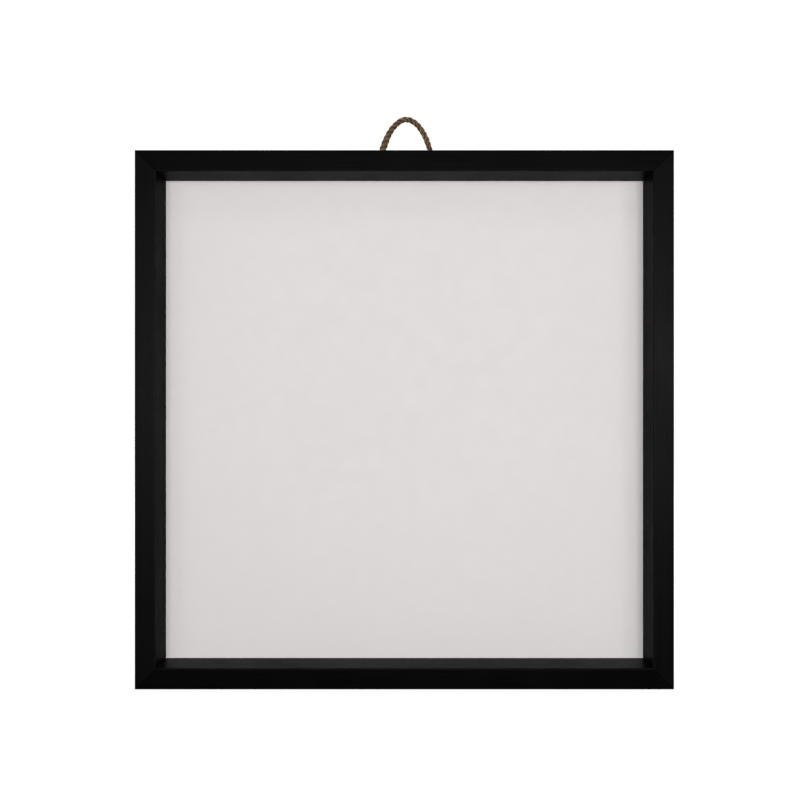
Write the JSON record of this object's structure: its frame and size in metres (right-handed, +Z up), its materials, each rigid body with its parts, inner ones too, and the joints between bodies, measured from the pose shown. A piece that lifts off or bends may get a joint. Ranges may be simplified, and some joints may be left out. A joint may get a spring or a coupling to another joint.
{
  "type": "shadow box",
  "caption": "Square open-fronted shadow box: mitred black wooden rails round a recessed white back panel, with a jute twine loop to hang it by.",
  "frame": {"origin": "middle of the base, halfway between the front and the back", "axes": "+Z up, the open front faces -Y, +X to the right as seen from the front"},
  "size_m": [0.305, 0.038, 0.3327],
  "materials": {
    "black_paint": "satin black paint on softwood, with the grain showing faintly through",
    "white_board": "matt white face on thin hardboard, bare brown at the back",
    "point_steel": "thin bright sheet steel",
    "nail_steel": "hardened steel strip",
    "jute": "three-ply natural jute twine with loose fibres"
  },
  "bodies": {
    "box": {"top_rail": "black_paint", "bottom_rail": "black_paint", "left_rail": "black_paint", "right_rail": "black_paint", "back_panel": "white_board", "panel_point_top_1": "point_steel", "panel_point_top_2": "point_steel", "panel_point_top_3": "point_steel", "panel_point_bottom_1": "point_steel", "panel_point_bottom_2": "point_steel", "panel_point_bottom_3": "point_steel", "panel_point_left_1": "point_steel", "panel_point_left_2": "point_steel", "panel_point_left_3": "point_steel", "panel_point_right_1": "point_steel", "panel_point_right_2": "point_steel", "panel_point_right_3": "point_steel", "corner_nail_top_left": "nail_steel", "corner_nail_top_right": "nail_steel", "corner_nail_bottom_left": "nail_steel", "corner_nail_bottom_right": "nail_steel", "cord_end_left": "jute", "cord_end_right": "jute", "knot_left": "jute", "knot_right": "jute"},
    "loop": {"hanging_loop": "jute"}
  },
  "joints": [
    {"name": "loop_fold", "type": "hinge", "parent": "box", "child": "loop", "pos_m": [0.001, 0.014, 0.3067], "axis": [1, 0, 0], "range_deg": [-85, 85]}
  ]
}
